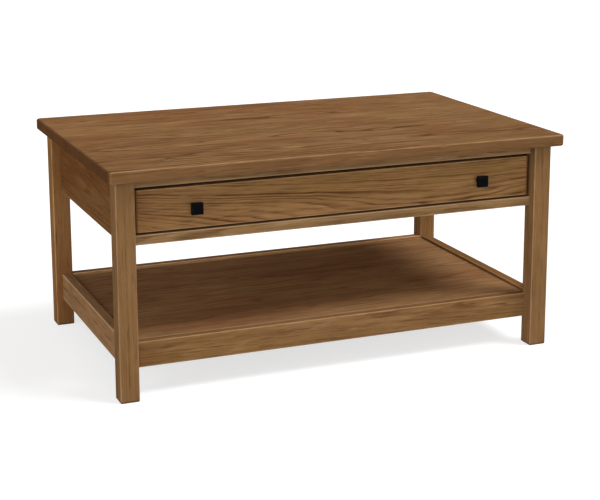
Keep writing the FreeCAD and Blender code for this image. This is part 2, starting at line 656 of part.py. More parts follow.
def runner_screw_places():
    places = ("runner_screw_inset", f"{runner_length} / 2", f"{runner_length} - runner_screw_inset")
    return [f"({runner_y} + {along})" for along in places]


def from_apron(side, near, far):
    """Where a stretch starts that lies between two distances from the side apron."""
    return by_side(side, f"(-{bay_x} + {near})", f"({bay_x} - {far})")


def make_member(label, side, near, far, drop, web_near):
    """One channel of a runner. Near and far are distances from the apron, drop lowers its flanges."""
    reach = f"({far} - {near})"
    height = f"(runner_height - 2 * {drop})"
    member = board(label, (from_apron(side, near, far), runner_y, f"{runner_z} + {drop}"),
                   (reach, runner_length, height))
    web_first = web_near == (side == "left")
    bend = size_of("runner_bend")
    ease(member, "runner_bend",
         lambda edge: runs_along(edge, "y") and (edge.BoundBox.XMax < bend) == web_first)
    block(member, "Subtractive", ("runner_steel" if web_first else "0", "0", "runner_steel"),
          (f"{reach} - runner_steel", runner_length, f"{height} - 2 * runner_steel"))
    return member


def make_cage(label, side, drop):
    """A ball cage: an upper and a lower strip, and the balls that run in them."""
    x = from_apron(side, ball_line, ball_line)
    y = f"({runner_y} + {runner_length} / 2)"
    from_edge = f"({drop} + runner_steel + ball_track / 2)"
    heights = {"upper": f"({runner_z} + runner_height - {from_edge})", "lower": f"({runner_z} + {from_edge})"}
    members = []
    for row, z in heights.items():
        strip = board(f"{label}_{row}_strip",
                      (f"{x} - {cage_width} / 2", f"{y} - {cage_length} / 2", f"{z} - cage_thickness / 2"),
                      (cage_width, cage_length, "cage_thickness"))
        members.append(strip)
        for index in range(int(size_of("ball_count"))):
            along = f"(({index} - (ball_count - 1) / 2) * ball_pitch)"
            bore(strip, (f"{cage_width} / 2", f"{cage_length} / 2 + {along}", "0"), TO_UP,
                 f"{ball_radius} + ball_hole_fit", "cage_thickness")
            ball = doc.addObject("Part::Sphere", f"{label}_{row}_ball_{index + 1}")
            bind(ball, "Radius", ball_radius)
            place(ball, (x, f"{y} + {along}", z))
            members.append(ball)
    group(label, members)


def make_runners():
    outer_screws, inner_screws = [], []
    double_step = f"(2 * {member_step})"
    for side in SIDES:
        outer = make_member(f"runner_outer_{side}", side, "0", outer_far, "0", web_near=True)
        make_member(f"runner_middle_{side}", side, middle_near, middle_far, member_step, web_near=True)
        inner = make_member(f"runner_inner_{side}", side, inner_near, inner_far, double_step, web_near=False)
        make_cage(f"ball_cage_outer_{side}", side, "0")
        make_cage(f"ball_cage_inner_{side}", side, member_step)
        outer_x = by_side(side, "runner_steel", f"{outer_far} - runner_steel")
        inner_x = by_side(side, f"{inner_web} - {inner_near}", "runner_steel")
        for y in runner_screw_places():
            along = f"{y} - {runner_y}"
            bore(outer, (outer_x, along, "runner_height / 2"), TOWARDS[side], screw_hole, "runner_steel")
            bore(inner, (inner_x, along, f"runner_height / 2 - {double_step}"), TOWARDS[AWAY[side]],
                 screw_hole, "runner_steel")
            for screws, name, u, way in ((outer_screws, "outer", "runner_steel", side),
                                         (inner_screws, "inner", inner_web, AWAY[side])):
                screws.append(make_screw(f"runner_{name}_screw_{len(screws) + 1}",
                                         (from_apron(side, u, u), y, runner_middle_z), TOWARDS[way],
                                         "runner_steel + runner_bite", "runner_head_height"))
    group("runner_outer_screws", outer_screws)
    group("runner_inner_screws", inner_screws)


make_top()
for end in ("front", "rear"):
    for side in SIDES:
        make_leg(end, side)
make_front_rails()
for side in SIDES:
    make_side_apron(side)
make_rear_apron()
make_top_fasteners()
make_shelf()
make_drawer()
make_runners()
doc.recompute()

failed = [obj.Name for obj in doc.Objects if "Invalid" in obj.State or "Error" in obj.State]
if failed:
    raise RuntimeError("failed objects: " + ", ".join(failed))

bodies = [obj for obj in doc.Objects if obj.isDerivedFrom("PartDesign::Body")]
groups = [obj for obj in doc.Objects if obj.isDerivedFrom("Part::Compound")]
grouped = {member.Name for compound in groups for member in compound.Links}
nodes = [obj for obj in bodies + groups if obj.Name not in grouped]
for node in nodes:
    if node.Shape.isNull() or not node.Shape.isValid():
        raise RuntimeError("bad shape: " + node.Label)

os.makedirs("parts", exist_ok=True)
for node in nodes:
    node.Shape.exportStep(f"parts/{node.Label}.step")
print(len(nodes), "nodes,", sum(len(node.Shape.Solids) for node in nodes), "solids")
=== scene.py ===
"""Dresses an oak coffee table with one drawer in wood, iron and steel, in a plain studio."""

import math

import bmesh
import bpy
from mathutils import Matrix, Vector


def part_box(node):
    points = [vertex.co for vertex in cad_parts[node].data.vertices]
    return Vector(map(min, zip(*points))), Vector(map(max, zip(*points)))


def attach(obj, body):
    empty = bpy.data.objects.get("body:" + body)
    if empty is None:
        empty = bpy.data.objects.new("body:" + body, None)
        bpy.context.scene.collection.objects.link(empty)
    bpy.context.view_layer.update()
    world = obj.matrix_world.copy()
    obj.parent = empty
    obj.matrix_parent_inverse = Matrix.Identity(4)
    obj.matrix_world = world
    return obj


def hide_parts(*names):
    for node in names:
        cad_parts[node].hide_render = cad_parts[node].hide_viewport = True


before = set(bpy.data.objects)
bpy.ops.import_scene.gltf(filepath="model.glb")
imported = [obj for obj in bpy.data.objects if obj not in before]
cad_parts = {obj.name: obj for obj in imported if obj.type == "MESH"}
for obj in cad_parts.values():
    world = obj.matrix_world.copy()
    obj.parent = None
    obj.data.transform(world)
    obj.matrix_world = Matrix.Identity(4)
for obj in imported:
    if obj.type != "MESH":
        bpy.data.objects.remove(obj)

bl_info = {
    "name": "Oak Coffee Table",
    "version": (1, 0, 0),
    "blender": (4, 5, 0),
    "location": "View3D > Sidebar > Coffee Table",
    "description": "Dresses the coffee table's pieces and sets up a plain studio for it",
    "category": "Object",
}

MM = 0.001
SIDES = ("left", "right")
AXES = {"X": Vector((1, 0, 0)), "Y": Vector((0, 1, 0)), "Z": Vector((0, 0, 1))}
RIGHT, FRONT, UP = AXES["X"], -AXES["Y"], AXES["Z"]
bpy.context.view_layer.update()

# The photograph's frame, in its own pixels
PHOTO_WIDTH = 600
PHOTO_HEIGHT = 500


def srgb(red, green, blue):
    """A colour as it looks on a screen, 0 to 255, as the linear colour that a shader takes."""
    def linear(value):
        share = value / 255
        return share / 12.92 if share <= 0.04045 else ((share + 0.055) / 1.055) ** 2.4
    return (linear(red), linear(green), linear(blue))


def colour_setting(name, description, red, green, blue):
    return bpy.props.FloatVectorProperty(
        name=name, description=description, subtype="COLOR", size=3, min=0, max=1,
        default=srgb(red, green, blue))


def length_setting(name, description, millimetres):
    return bpy.props.FloatProperty(
        name=name, description=description, subtype="DISTANCE", unit="LENGTH",
        default=millimetres * MM)


def angle_setting(name, description, degrees):
    return bpy.props.FloatProperty(
        name=name, description=description, subtype="ANGLE", default=math.radians(degrees))


def share_setting(name, description, value):
    return bpy.props.FloatProperty(
        name=name, description=description, subtype="FACTOR", min=0, max=1, default=value)


def lamp_setting(name, description, strength):
    return bpy.props.FloatProperty(name=name, description=description, min=0, default=strength)


class OakFinish(bpy.types.PropertyGroup):
    """The stained oak of the table's show boards"""
    late_wood: colour_setting("Late wood", "Stained oak between its growth lines", 144, 108, 71)
    early_wood: colour_setting("Early wood", "Stained oak along its growth lines", 86, 56, 32)
    pore: colour_setting("Pore", "Stain lying in the open pores", 58, 37, 22)
    russet: colour_setting("Russet", "Redder patches of the stain", 122, 76, 48)
    amber: colour_setting("Amber", "Yellower patches of the stain", 136, 104, 54)
    # The arris colour: oak with thin stain on eased edges, also lightened as a painted highlight
    rubbed_and_highlight: colour_setting("Rubbed edge and highlight", "Oak on eased edges, thinly stained", 178, 142, 107)
    rub_and_highlight_width: length_setting("Rub width", "How far the rubbed colour reaches from an edge", 2.6)
    roughness: share_setting("Roughness", "Roughness of the satin lacquer", 0.5)
    gloss: share_setting("Gloss", "Weight of the satin lacquer's sheen", 0.008)


class BoxFinish(bpy.types.PropertyGroup):
    """The pale wood of the drawer's box"""
    pale_wood: colour_setting("Pale wood", "Box wood between its growth lines", 205, 178, 134)
    line_wood: colour_setting("Line wood", "Box wood along its growth lines", 178, 146, 102)
    veneer: colour_setting("Veneer", "Face veneer of the plywood bottom", 212, 186, 146)
    veneer_line: colour_setting("Veneer line", "Figure of the plywood's veneer", 188, 156, 112)


class MetalFinish(bpy.types.PropertyGroup):
    """The iron and steel of the hardware"""
    iron: colour_setting("Iron", "Black iron of the knobs", 6, 6, 8)
    # Knob edges lighter and bluer: wear, and a painted highlight
    iron_rubbed_and_highlight: colour_setting("Rubbed iron and highlight", "Black iron along the knobs' edges", 24, 24, 29)
    zinc: colour_setting("Zinc", "Zinc plate of the runners", 166, 171, 178)
    zinc_dull: colour_setting("Dull zinc", "Duller patches of the zinc plate", 122, 128, 135)
    bright_steel: colour_setting("Bright steel", "Steel of the balls and cages", 196, 196, 194)
    screw: colour_setting("Screw", "Plated steel of the screws", 150, 141, 118)


class Studio(bpy.types.PropertyGroup):
    """The camera and the light"""
    camera_place: bpy.props.FloatVectorProperty(
        name="Camera", description="Place of the camera", subtype="TRANSLATION", unit="LENGTH",
        size=3, default=(-1.158524, -2.917172, 1.035361))
    yaw: angle_setting("Yaw", "Turn of the camera from straight ahead", -23.092)
    pitch: angle_setting("Pitch", "Tilt of the camera, down below zero", -12.114)
    roll: angle_setting("Roll", "Roll of the camera", 0.092)
    focal_pixels: bpy.props.FloatProperty(
        name="Focal length", description="Focal length in pixels of the photograph",
        default=1503.578)
    centre_pixel: bpy.props.FloatVectorProperty(
        name="Optical centre", description="Pixel of the photograph on the lens's axis", size=2,
        default=(330, 170))
    sensor: length_setting("Sensor", "Width of the camera's sensor", 36)
    overhead: lamp_setting("Overhead", "Strength of the broad light over the table", 0.4)
    key: lamp_setting("Key", "Strength of the high light at the right", 2.35)
    front: lamp_setting("Front", "Strength of the low light in front", 1.32)
    side: lamp_setting("Side", "Strength of the low light at the left", 1.35)
    surround: lamp_setting("Surround", "Strength of the light from all round", 0.08)
    floor_size: length_setting("Floor", "Length and width of the floor", 24000)
    floor_white: share_setting("Floor white", "Floor's white that light doesn't change", 0.68)
    floor_shade: share_setting("Floor shade", "Floor's reflectance, which holds the shadow", 0.5)


class NodeBench:
    """Adds nodes to one node tree, and links or sets what each one is given."""

    def __init__(self, tree):
        self.tree = tree

    def add(self, kind, inputs=None, **settings):
        node = self.tree.nodes.new(kind)
        for name, value in settings.items():
            setattr(node, name, value)
        self.fill(node, inputs or {})
        return node

    def fill(self, node, inputs):
        for key, value in inputs.items():
            if isinstance(value, bpy.types.NodeSocket):
                self.tree.links.new(value, node.inputs[key])
            else:
                node.inputs[key].default_value = value

    def math(self, operation, *values, clamp=False):
        inputs = dict(enumerate(values))
        return self.add("ShaderNodeMath", inputs, operation=operation, use_clamp=clamp).outputs[0]

    def plus(self, first, second, clamp=False):
        return self.math("ADD", first, second, clamp=clamp)

    def minus(self, first, second):
        return self.math("SUBTRACT", first, second)

    def times(self, first, second):
        return self.math("MULTIPLY", first, second)

    def vector(self, operation, *values):
        inputs = dict(enumerate(values))
        return self.add("ShaderNodeVectorMath", inputs, operation=operation).outputs[0]

    def length(self, vector):
        return self.add("ShaderNodeVectorMath", {0: vector}, operation="LENGTH").outputs["Value"]

    def split(self, vector):
        return self.add("ShaderNodeSeparateXYZ", {0: vector}).outputs

    def join(self, x, y, z):
        return self.add("ShaderNodeCombineXYZ", {0: x, 1: y, 2: z}).outputs[0]

    def spread(self, value):
        """One number on all three axes."""
        return self.join(value, value, value)

    def swing(self, value, reach):
        """A share from 0 to 1 as a distance to either side of 0."""
        return self.times(self.minus(value, 0.5), reach)

    def step(self, value, low, high, start=0.0, end=1.0):
        """A smooth change from start to end as value goes from low to high."""
        ends = {"Value": value, "From Min": low, "From Max": high, "To Min": start, "To Max": end}
        return self.add("ShaderNodeMapRange", ends, interpolation_type="SMOOTHSTEP").outputs[0]

    def noise(self, vector, lumps, detail=2.0, roughness=0.5):
        """Noise with that many lumps a metre on each axis."""
        place = self.vector("MULTIPLY", vector, lumps)
        inputs = {"Vector": place, "Scale": 1.0, "Detail": detail, "Roughness": roughness}
        return self.add("ShaderNodeTexNoise", inputs).outputs

    def wobble(self, vector, lumps):
        """Noise to either side of 0, on each axis by itself."""
        return self.vector("SUBTRACT", self.noise(vector, lumps, 1.0)["Color"], (0.5, 0.5, 0.5))

    def chance(self, number):
        """A chance share from 0 to 1, always the same one for the same number."""
        inputs = {"W": number}
        return self.add("ShaderNodeTexWhiteNoise", inputs, noise_dimensions="1D").outputs["Value"]

    def bump(self, height, strength, depth):
        inputs = {"Height": height, "Strength": strength, "Distance": depth}
        return self.add("ShaderNodeBump", inputs).outputs[0]

    def mix(self, share, first, second, way="MIX"):
        """Two colours mixed. The node's other sockets are for numbers and vectors."""
        inputs = {0: share, 6: first, 7: second}
        return self.add("ShaderNodeMix", inputs, data_type="RGBA", blend_type=way).outputs[2]


def opaque(colour):
    return (*colour, 1.0)


def new_group(name, inputs, outputs):
    """An empty node group with its sockets, and the bench to fill it on."""
    tree = bpy.data.node_groups.new(name, "ShaderNodeTree")
    for way, sockets in (("INPUT", inputs), ("OUTPUT", outputs)):
        for title, kind in sockets.items():
            tree.interface.new_socket(name=title, in_out=way, socket_type="NodeSocket" + kind)
    bench = NodeBench(tree)
    return tree, bench, bench.add("NodeGroupInput").outputs, bench.add("NodeGroupOutput")


# A mask of the arrises, for wear and a painted highlight alike
def rub_and_highlight_mask(bench, place, half, width, wander):
    """1 on the arrises of a board of that half size, fading to 0 a width away from them."""
    depth = bench.split(bench.vector("SUBTRACT", half, bench.vector("ABSOLUTE", place)))
    low = bench.math("MINIMUM", depth[0], depth[1])
    high = bench.math("MAXIMUM", depth[0], depth[1])
    arris = bench.math("MAXIMUM", low, bench.math("MINIMUM", high, depth[2]))
    ragged = bench.plus(arris, bench.swing(wander, width))
    return bench.step(ragged, width * 0.25, width, 1.0, 0.0)


# The sockets of a wood and their kinds
WOOD_INPUTS = {
    **dict.fromkeys(("Place", "Half Size", "Pith", "Lean", "Tone"), "Vector"),
    **dict.fromkeys(("Seed", "Stave Width", "Bow", "Swirl", "Ring", "Russet", "Amber", "Figure",
                     "Wisps", "Soak", "Edge"), "Float"),
}
WOOD_OUTPUTS = {"Color": "Color", "Roughness": "Float", "Normal": "Vector"}

# Lumps a metre of each noise in the wood: along the grain, across it and through it
SWAY = (1.7, 11, 11)
RIPPLE = (12, 70, 70)
SWIRL = (5.5, 13, 13)
BREAKS = (9, 45, 45)
LONG_PORES = (20, 420, 420)
SHORT_PORES = (70, 1500, 1500)
FIBRES = (4, 150, 150)
CLOUDS = (2.6, 9, 9)
WANDER = (24, 60, 60)
FLOCKS = (1.6, 6, 6)
WISPS = (11, 190, 300)
FLECKS = (15, 170, 260)
MOTTLE = (9, 34, 34)

# How far the wood's lines stray sideways, in metres
SWAY_REACH = (0, 0.020, 0.020)
RIPPLE_REACH = (0, 0.0032, 0.0032)
FLOW_REACH = (0, 0.05, 0.05)

# How the staves of a glued board differ: their noise, their pith in metres, and their shade
STAVE_SEED_STEP = 7.31
STAVE_SHIFT = (1.37, 0.71, 0.43)
STAVE_PITH_ACROSS = 0.03
STAVE_PITH_DEEP = 0.012
STAVE_SHADE = 0.07

# The arrises' lighter colour, thin stain worn off and a painted highlight, at this share
RUB_AND_HIGHLIGHT_SHARE = 0.75
COAT_ROUGHNESS = 0.3


def lay_staves(bench, given, along, across, deep):
    """Each stave's swing from the middle one, the place in it, and that place in its own noise."""
    width = given["Stave Width"]
    stave = bench.math("ROUND", bench.math("DIVIDE", across, width))
    seed = bench.plus(bench.times(stave, STAVE_SEED_STEP), given["Seed"])
    in_stave = bench.minus(across, bench.times(stave, width))
    swing = bench.minus(bench.times(bench.chance(seed), 2.0), 1.0)
    outer = bench.math("MINIMUM", bench.math("ABSOLUTE", stave), 1.0)
    local = bench.join(along, in_stave, deep)
    shift = bench.vector("MULTIPLY", STAVE_SHIFT, bench.spread(seed))
    return bench.times(swing, outer), local, bench.vector("ADD", local, shift)


def grow_rings(bench, given, along, swing, local, shifted, sway):
    """Growth rings round a leaning, bowed pith: their early wood, and their lines with breaks."""
    ripple, swirl = bench.wobble(shifted, RIPPLE), bench.wobble(shifted, SWIRL)
    bend = bench.vector("ADD", bench.vector("MULTIPLY", sway, SWAY_REACH),
                        bench.vector("MULTIPLY", ripple, RIPPLE_REACH))
    swirl_reach = bench.join(0.0, given["Swirl"], given["Swirl"])
    bend = bench.vector("ADD", bend, bench.vector("MULTIPLY", swirl, swirl_reach))
    bow = bench.times(bench.times(along, along), given["Bow"])
    lean = bench.vector("MULTIPLY", given["Lean"], bench.spread(along))
    lean = bench.vector("ADD", lean, bench.join(0.0, 0.0, bow))
    swung = bench.join(0.0, bench.times(swing, STAVE_PITH_ACROSS),
                       bench.times(swing, STAVE_PITH_DEEP))
    pith = bench.vector("ADD", bench.vector("ADD", given["Pith"], lean), swung)
    from_pith = bench.vector("ADD", bench.vector("SUBTRACT", local, pith), bend)
    radius = bench.length(bench.vector("MULTIPLY", from_pith, (0, 1, 1)))

    years = bench.math("DIVIDE", radius, given["Ring"])
    uneven = bench.add("ShaderNodeTexNoise", {"W": years, "Scale": 0.45, "Detail": 1.0},
                       noise_dimensions="1D").outputs[0]
    years = bench.plus(years, bench.times(uneven, 1.6))
    season = bench.math("FRACT", years)
    vigour = bench.chance(bench.plus(bench.math("FLOOR", years), given["Seed"]))
    growth = bench.math("MAXIMUM", bench.step(season, 0.0, 0.55, 1.0, 0.0),
                        bench.step(season, 0.86, 1.0))
    broken = bench.step(bench.noise(shifted, BREAKS)[0], 0.34, 0.62, 0.35, 1.0)
    line = bench.times(bench.times(growth, broken), bench.step(vigour, 0.0, 1.0, 0.3, 1.0))
    return growth, line


def open_pores(bench, shifted, growth):
    """Long and short pores, most of them in the early wood."""
    long_pores = bench.step(bench.noise(shifted, LONG_PORES, 1.0)[0], 0.52, 0.72)
    short_pores = bench.step(bench.noise(shifted, SHORT_PORES, 1.0)[0], 0.50, 0.75)
    pores = bench.math("MAXIMUM", long_pores, bench.times(short_pores, 0.6))
    return bench.times(pores, bench.plus(bench.times(growth, 0.65), 0.35))


def dark_wisps(bench, shifted, flow, to_edge):
    """Short dark wisps, in flocks that keep off the board's edges."""
    flock = bench.step(bench.noise(shifted, FLOCKS, 1.0)[0], 0.36, 0.62)
    wisp = bench.step(bench.noise(flow, WISPS, 3.0, 0.6)[0], 0.52, 0.68)
    wisp = bench.times(wisp, bench.plus(bench.times(flock, 0.8), 0.2))
    return bench.times(wisp, bench.step(to_edge, 0.5 * MM, 8 * MM))


def make_wood_group(name, colours, rub_and_highlight_width, roughness, pore_share, line_share, end_share):
    """Solid wood, its grain along X and its face towards Z, in six colours of wood and stain."""
    late, early, pore, russet, amber, rubbed_and_highlight = map(opaque, colours)
    tree, bench, given, result = new_group(name, WOOD_INPUTS, WOOD_OUTPUTS)
    along, across, deep = bench.split(given["Place"])
    half = bench.split(given["Half Size"])
    to_end = bench.minus(half[0], bench.math("ABSOLUTE", along))
    to_edge = bench.minus(half[1], bench.math("ABSOLUTE", across))
    edge = given["Edge"]

    swing, local, shifted = lay_staves(bench, given, along, across, deep)
    sway = bench.wobble(shifted, SWAY)
    flow = bench.vector("ADD", shifted, bench.vector("MULTIPLY", sway, FLOW_REACH))
    growth, line = grow_rings(bench, given, along, swing, local, shifted, sway)
    pores = open_pores(bench, shifted, growth)
    wisps = dark_wisps(bench, shifted, flow, to_edge)
    fibre = bench.noise(shifted, FIBRES, 3.0, 0.6)[0]

    # How dark the lines, the wisps and the fibres make it
    plain = bench.minus(1.0, bench.times(edge, 2.0))
    calm = bench.step(to_edge, 0.3 * MM, 3 * MM, plain)
    shade = bench.times(bench.times(line, calm), bench.times(given["Figure"], line_share))
    shade = bench.plus(shade, bench.times(wisps, given["Wisps"]))
    # A darkening of the whole board: deeper stain, and painted shade on boards under the top's
    # overhang
    shade = bench.plus(shade, given["Soak"])
    fibrous = bench.plus(bench.times(given["Figure"], 0.4), 0.5)
    darker = bench.times(bench.minus(fibre, 0.42), fibrous)
    shade = bench.plus(shade, darker, clamp=True)

    # The stain's red and yellow patches, and the pale flecks of the rays
    cloud = bench.split(bench.noise(shifted, CLOUDS)["Color"])
    red = bench.times(bench.step(cloud[0], 0.42, 0.66), given["Russet"])
    yellow = bench.times(bench.step(cloud[1], 0.42, 0.66), given["Amber"])
    fleck = bench.times(bench.step(bench.noise(flow, FLECKS)[0], 0.56, 0.70), given["Wisps"])
    stain = bench.mix(yellow, bench.mix(red, late, russet), amber)
    stain = bench.mix(fleck, stain, rubbed_and_highlight)

    # The colour: lighter on the arrises, as thin stain worn off and a painted highlight; darker at
    # the ends, as stain drunk into the end grain and a painted shade
    rub_and_highlight = rub_and_highlight_mask(bench, given["Place"], given["Half Size"], rub_and_highlight_width,
                   bench.noise(shifted, WANDER)[0])
    # Darker at the ends and long edges: stain drunk into the grain, and at the ends also a painted
    # shade that fades 6 mm in
    soaked_and_shaded = bench.math("MAXIMUM", bench.step(to_end, 0.3 * MM, 6 * MM, end_share, 0.0),
                        bench.step(to_edge, 0.3 * MM, 1.6 * MM, edge, 0.0))
    mottle = bench.step(bench.noise(shifted, MOTTLE)[0], 0.3, 0.7, 0.93, 1.07)
    stave_shade = bench.plus(1.0, bench.times(swing, STAVE_SHADE))
    lightness = bench.spread(bench.times(mottle, stave_shade))
    colour = bench.mix(shade, stain, early)
    colour = bench.mix(bench.times(pores, pore_share), colour, pore)
    # Arrises lightened: worn thin stain, and a painted highlight
    colour = bench.mix(bench.times(rub_and_highlight, RUB_AND_HIGHLIGHT_SHARE), colour, rubbed_and_highlight)
    colour = bench.mix(soaked_and_shaded, colour, early)
    tint = bench.vector("MULTIPLY", given["Tone"], lightness)
    colour = bench.mix(1.0, colour, tint, "MULTIPLY")

    # Its roughness and relief
    matt = bench.plus(bench.times(pores, 0.2), bench.swing(fibre, 0.12))
    polish = bench.minus(roughness, bench.times(rub_and_highlight, 0.06))
    rough = bench.plus(matt, polish, clamp=True)
    hollow = bench.plus(pores, bench.times(line, 0.4))
    height = bench.minus(bench.times(fibre, 0.4), hollow)
    bump = bench.bump(height, strength=0.35, depth=0.4 * MM)
    bench.fill(result, {"Color": colour, "Roughness": rough, "Normal": bump})
    return tree


def new_material(name):
    """An empty material: its bench, its shader and the piece's own coordinates."""
    material = bpy.data.materials.new(name)
    material.use_nodes = True
    bench = NodeBench(material.node_tree)
    shader = material.node_tree.nodes["Principled BSDF"]
    place = bench.add("ShaderNodeTexCoord").outputs["Object"]
    return material, bench, shader, place


def wear(piece, material):
    """Puts one material on all of a piece."""
    piece.data.materials.clear()
    piece.data.materials.append(material)


class Cut:
    """How a board was sawn and stained. Lengths are in millimetres, the pith's from its middle."""

    # In metres: wider than any board, and past any end that a joint hides
    WHOLE_BOARD = 10.0
    HIDDEN_END = 1.0

    def __init__(self, pith, lean=(0, 0), bow=0.0, swirl=0.0, ring=6.0, stave=None, tone=1.0,
                 russet=0.2, amber=0.3, figure=1.0, wisps=0.2, soak_and_shade=0.0, edge=0.0,
                 free_ends=False):
        self.past_end = 0.0 if free_ends else self.HIDDEN_END
        self.inputs = {
            "Stave Width": stave * MM if stave else self.WHOLE_BOARD,
            "Pith": (0, pith[0] * MM, pith[1] * MM), "Lean": (0, *lean), "Bow": bow,
            "Swirl": swirl * MM, "Ring": ring * MM,
            "Tone": tone if isinstance(tone, tuple) else (tone, tone, tone),
            "Russet": russet, "Amber": amber, "Figure": figure, "Wisps": wisps, "Soak": soak_and_shade,
            "Edge": edge,
        }


def wood_material(name, group, node, grain, face, cut, seed, gloss):
    """Wood for one board, turned so that its grain and its face lie as they were sawn."""
    material, bench, shader, place = new_material(name)
    low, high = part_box(node)
    along, out = AXES[grain], AXES[face]
    axes = (along, out.cross(along), out)
    turn = Matrix(axes).transposed().to_euler()
    middle = {"Vector": place, "Location": (low + high) / 2, "Rotation": turn}
    mapping = bench.add("ShaderNodeMapping", middle, vector_type="TEXTURE")
    half = Vector(abs((high - low).dot(axis)) / 2 for axis in axes)
    half.x += cut.past_end
    board = {"Place": mapping.outputs[0], "Half Size": half, "Seed": seed, **cut.inputs}
    wood = bench.add("ShaderNodeGroup", board, node_tree=group).outputs
    bench.fill(shader, {
        "Base Color": wood["Color"], "Roughness": wood["Roughness"], "Normal": wood["Normal"],
        "Specular IOR Level": 0.0, "Coat Weight": gloss, "Coat Roughness": COAT_ROUGHNESS})
    return material


# The boards: grain, face, cut
LEG_CUT = Cut(pith=(70, 62), ring=3.4, tone=0.88, russet=0.15, amber=0.1, figure=0.28,
              wisps=0.1, free_ends=True)
REAR_LEG_CUT = Cut(pith=(70, 62), ring=3.4, tone=(1.13, 1.06, 0.95), russet=0.5,
                   figure=0.28, wisps=0.1, free_ends=True)
RAIL_CUT = Cut(pith=(10, -70), lean=(0.004, 0.012), ring=4.0, tone=(1.04, 1.12, 1.16),
               russet=0.0, amber=0.15, figure=0.6, wisps=0.4)
SHOW_BOARDS = {
    "table_top": ("X", "Z", Cut(
        pith=(0, -20), lean=(0.012, 0.036), swirl=26, ring=6.4, stave=102,
        tone=(1.035, 1.025, 1.025), russet=0.5, amber=0.05, figure=1.15, wisps=0.42, edge=0.46,
        free_ends=True)),
    "drawer_face": ("X", "Y", Cut(
        pith=(58, -92), lean=(0, -0.04), bow=0.1, ring=3.6, tone=(1.1, 1.09, 1.03), amber=0.5,
        figure=1.3, free_ends=True)),
    # The side aprons' darker, redder colour is partly painted shade from the top's overhang
    "side_apron_left": ("Y", "X", Cut(
        pith=(-10, -48), lean=(0.02, 0.04), ring=7.0, tone=(1.21, 1.15, 1.01), russet=1.0,
        amber=0.4, figure=0.3, wisps=0.15, soak_and_shade=0.6)),
    "side_apron_right": ("Y", "X", Cut(
        pith=(14, -44), lean=(-0.02, 0.05), ring=7.0, tone=(1.21, 1.15, 1.01), russet=1.0,
        amber=0.4, figure=0.3, wisps=0.15, soak_and_shade=0.6)),
    "rear_apron": ("X", "Y", Cut(
        pith=(-6, 52), lean=(0, 0.04), ring=7.0, russet=0.4, figure=0.8)),
    "front_top_rail": ("X", "Y", RAIL_CUT),
    "drawer_rail": ("X", "Y", RAIL_CUT),
    "shelf_front_rail": ("X", "Y", Cut(
        pith=(-30, -80), lean=(0.004, 0.012), ring=2.8, tone=(0.9, 0.88, 0.86), russet=0.4,
        figure=0.55, wisps=0.3)),
    # The rear rail's raised tone is painted light: its lip, in the shade of the drawer and top, is
    # lightened to look lit
    "shelf_rear_rail": ("X", "Y", Cut(
        pith=(10, -70), lean=(0.004, 0.012), ring=4.0, tone=1.45, figure=0.35)),
    "shelf_side_rail_left": ("Y", "X", Cut(
        pith=(10, -70), ring=4.0, tone=(1.29, 1.34, 1.44), russet=0.1, amber=0.0, figure=0.35)),
    "shelf_side_rail_right": ("Y", "X", Cut(
        pith=(-10, -70), ring=4.0, tone=(1.09, 1.02, 0.9), russet=0.8, figure=0.35, soak_and_shade=0.3)),
    "shelf_panel": ("X", "Z", Cut(
        pith=(0, -30), lean=(0.01, 0.03), swirl=20, ring=6.2, stave=96, tone=(1.16, 1.17, 1.25),
        russet=0.45, amber=0.0, figure=0.6)),
    "shelf_cleat_left": ("Y", "X", RAIL_CUT),
    "shelf_cleat_right": ("Y", "X", RAIL_CUT),
    "shelf_cleat_front": ("X", "Y", RAIL_CUT),
    "shelf_cleat_rear": ("X", "Y", RAIL_CUT),
    "leg_front_left": ("Z", "Y", LEG_CUT),
    "leg_front_right": ("Z", "Y", LEG_CUT),
    "leg_rear_left": ("Z", "Y", REAR_LEG_CUT),
    "leg_rear_right": ("Z", "Y", REAR_LEG_CUT),
}
BOX_CUT = Cut(pith=(8, -60), lean=(0.004, 0.02), ring=4.2, russet=0.0, amber=0.0, free_ends=True)
BOX_BOARDS = {
    "drawer_box_front": ("X", "Y", BOX_CUT),
    "drawer_box_back": ("X", "Y", BOX_CUT),
    "drawer_side_left": ("Y", "X", BOX_CUT),
    "drawer_side_right": ("Y", "X", BOX_CUT),
}
PLY_BOARDS = {
    "drawer_bottom": ("X", "Z", Cut(
        pith=(0, -90), lean=(0.02, 0.16), ring=9.0, stave=310, russet=0.0, amber=0.0)),
}
FIRST_SEED = 1.7
SEED_STEP = 2.3


def finish_boards(boards, group, slot, gloss, *starts):
    """Gives each board, or those whose names start with some words, its own piece of one wood."""
    for number, (node, (grain, face, cut)) in enumerate(boards.items()):
        if not starts or node.startswith(starts):
            seed = FIRST_SEED + SEED_STEP * number
            wood = wood_material(f"{slot}_{node}", group, node, grain, face, cut, seed, gloss)
            wear(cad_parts[node], wood)


def finish_oak(context, *starts):
    """Finishes the show boards whose names start with some words."""
    oak = context.scene.oak_finish
    group = bpy.data.node_groups.get("stained_oak")
    if group is None:
        colours = (oak.late_wood, oak.early_wood, oak.pore, oak.russet, oak.amber, oak.rubbed_and_highlight)
        group = make_wood_group("stained_oak", colours, oak.rub_and_highlight_width, oak.roughness,
                                pore_share=0.55, line_share=0.8, end_share=0.9)
    finish_boards(SHOW_BOARDS, group, "stained_oak", oak.gloss, *starts)


